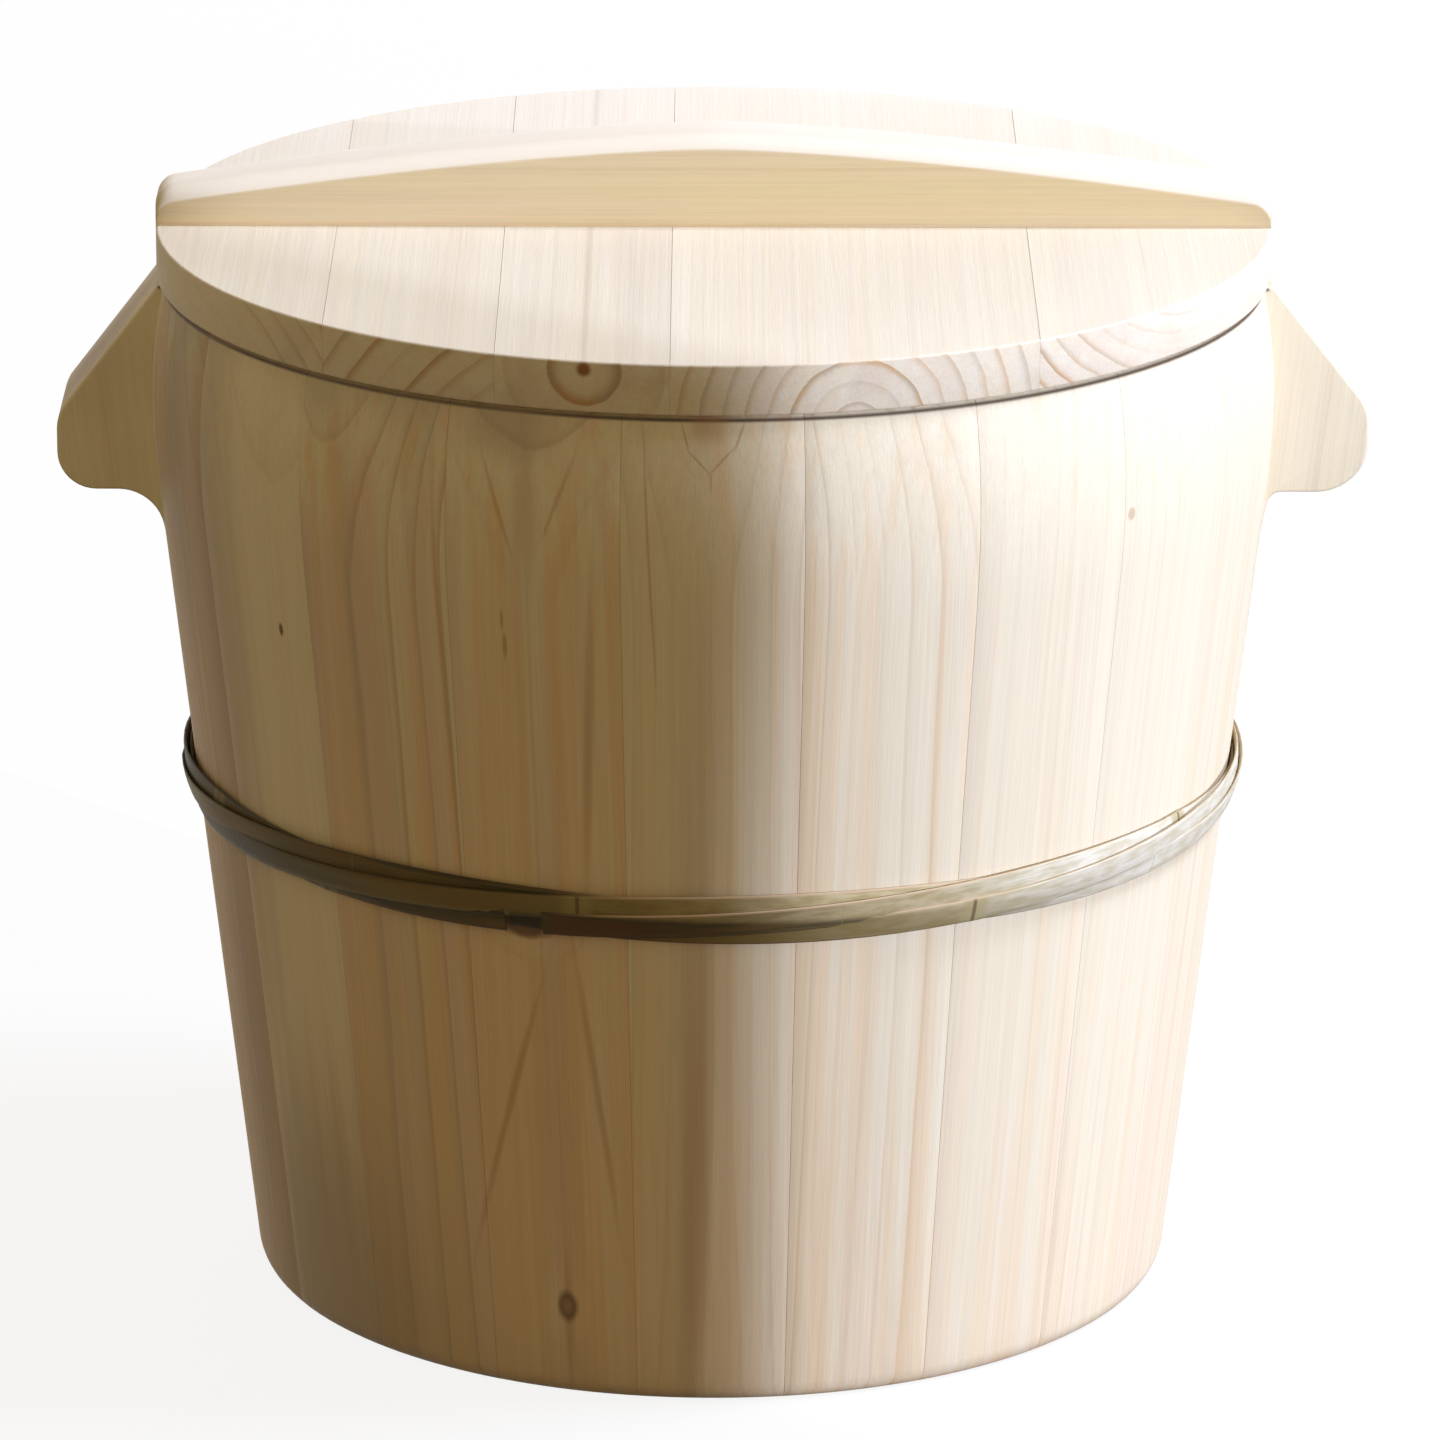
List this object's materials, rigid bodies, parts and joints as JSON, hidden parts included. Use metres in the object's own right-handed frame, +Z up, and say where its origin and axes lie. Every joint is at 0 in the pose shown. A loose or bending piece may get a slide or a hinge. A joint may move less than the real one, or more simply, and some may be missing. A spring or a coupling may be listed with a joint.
{
  "type": "wooden rice steamer bucket",
  "caption": "Tapered stave bucket with a twisted bamboo hoop, two ears, a flat lid with an arched handle batten, and a slatted grate on an inner ledge.",
  "frame": {"origin": "middle of the foot, on the floor", "axes": "+Z up, front towards -Y, one ear at +X and one at -X, lid handle along X"},
  "size_m": [0.3536, 0.3036, 0.318],
  "materials": {
    "stave_fir": "planed bare fir, upright grain, matt",
    "lid_fir": "planed bare fir, matt, end grain on the rim",
    "handle_fir": "planed bare fir, lengthwise grain, matt",
    "grate_fir": "sawn bare fir, matt",
    "bamboo_skin": "split bamboo, satin green-brown skin",
    "bamboo_pin": "shaved bamboo, matt"
  },
  "bodies": {
    "bucket": {"stave_01": "stave_fir", "stave_02": "stave_fir", "stave_03": "stave_fir", "stave_04": "stave_fir", "stave_05": "stave_fir", "stave_06": "stave_fir", "stave_07": "stave_fir", "stave_08": "stave_fir", "stave_09": "stave_fir", "stave_11": "stave_fir", "stave_12": "stave_fir", "stave_13": "stave_fir", "stave_14": "stave_fir", "stave_15": "stave_fir", "stave_16": "stave_fir", "stave_17": "stave_fir", "stave_18": "stave_fir", "stave_19": "stave_fir", "ear_stave_left": "stave_fir", "ear_stave_right": "stave_fir", "stave_dowel_01": "bamboo_pin", "stave_dowel_02": "bamboo_pin", "stave_dowel_03": "bamboo_pin", "stave_dowel_04": "bamboo_pin", "stave_dowel_05": "bamboo_pin", "stave_dowel_06": "bamboo_pin", "stave_dowel_07": "bamboo_pin", "stave_dowel_08": "bamboo_pin", "stave_dowel_09": "bamboo_pin", "stave_dowel_10": "bamboo_pin", "stave_dowel_11": "bamboo_pin", "stave_dowel_12": "bamboo_pin", "stave_dowel_13": "bamboo_pin", "stave_dowel_14": "bamboo_pin", "stave_dowel_15": "bamboo_pin", "stave_dowel_16": "bamboo_pin", "stave_dowel_17": "bamboo_pin", "stave_dowel_18": "bamboo_pin", "stave_dowel_19": "bamboo_pin", "stave_dowel_20": "bamboo_pin", "bamboo_hoop": "bamboo_skin"},
    "lid": {"lid_board_1": "lid_fir", "lid_board_2": "lid_fir", "lid_board_3": "lid_fir", "lid_board_4": "lid_fir", "lid_board_5": "lid_fir", "lid_handle": "handle_fir"},
    "grate": {"grate_slat_1": "grate_fir", "grate_slat_2": "grate_fir", "grate_slat_3": "grate_fir", "grate_slat_4": "grate_fir", "grate_slat_5": "grate_fir", "grate_slat_6": "grate_fir", "grate_slat_7": "grate_fir", "grate_rod_front": "bamboo_pin", "grate_rod_back": "bamboo_pin"}
  },
  "joints": [
    {"name": "lid_lift", "type": "slide", "parent": "bucket", "child": "lid", "axis": [0, 0, 1], "range_m": [0, 0.2]},
    {"name": "grate_lift", "type": "slide", "parent": "bucket", "child": "grate", "axis": [0, 0, 1], "range_m": [0, 0.2]}
  ]
}
